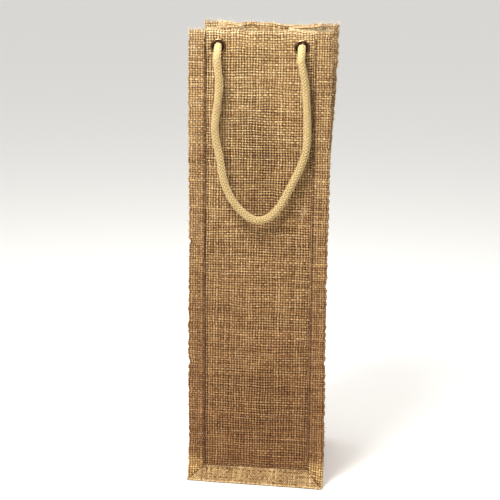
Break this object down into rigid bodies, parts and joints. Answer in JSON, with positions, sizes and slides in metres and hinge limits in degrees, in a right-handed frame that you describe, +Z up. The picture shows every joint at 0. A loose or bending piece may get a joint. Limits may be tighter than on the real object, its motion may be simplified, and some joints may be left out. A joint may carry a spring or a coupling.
{
  "type": "wine gift bag",
  "caption": "Tall open-topped gift bag of coarse jute cloth with bound edges, eyelets and swinging rope handles, for one bottle of wine.",
  "frame": {"origin": "on the floor under the middle of the bag", "axes": "+Z up, +X along the width to the right as the front is seen, front face towards -Y"},
  "size_m": [0.108, 0.1046, 0.356],
  "materials": {
    "jute_cloth": "coarse open plain weave",
    "jute_binding": "folded plain weave",
    "seam_thread": "matt twisted thread",
    "eyelet_metal": "dark antique bronze",
    "cotton_rope": "braided"
  },
  "bodies": {
    "bag": {"front_panel": "jute_cloth", "back_panel": "jute_cloth", "left_gusset": "jute_cloth", "right_gusset": "jute_cloth", "base_panel": "jute_cloth", "front_left_binding": "jute_binding", "front_right_binding": "jute_binding", "front_base_binding": "jute_binding", "back_left_binding": "jute_binding", "back_right_binding": "jute_binding", "back_base_binding": "jute_binding", "front_seam_thread": "seam_thread", "back_seam_thread": "seam_thread", "hem_thread": "seam_thread", "front_left_eyelet": "eyelet_metal", "front_right_eyelet": "eyelet_metal", "back_left_eyelet": "eyelet_metal", "back_right_eyelet": "eyelet_metal", "front_left_washer": "eyelet_metal", "front_right_washer": "eyelet_metal", "back_left_washer": "eyelet_metal", "back_right_washer": "eyelet_metal", "front_left_knot": "cotton_rope", "front_right_knot": "cotton_rope", "back_left_knot": "cotton_rope", "back_right_knot": "cotton_rope"},
    "front_handle": {"front_rope": "cotton_rope"},
    "back_handle": {"back_rope": "cotton_rope"}
  },
  "joints": [
    {"name": "front_handle_swing", "type": "hinge", "parent": "bag", "child": "front_handle", "pos_m": [0, -0.04707, 0.3435], "axis": [-1, 0, 0], "range_deg": [0, 180]},
    {"name": "back_handle_swing", "type": "hinge", "parent": "bag", "child": "back_handle", "pos_m": [0, 0.04707, 0.3435], "axis": [1, 0, 0], "range_deg": [0, 180]}
  ]
}
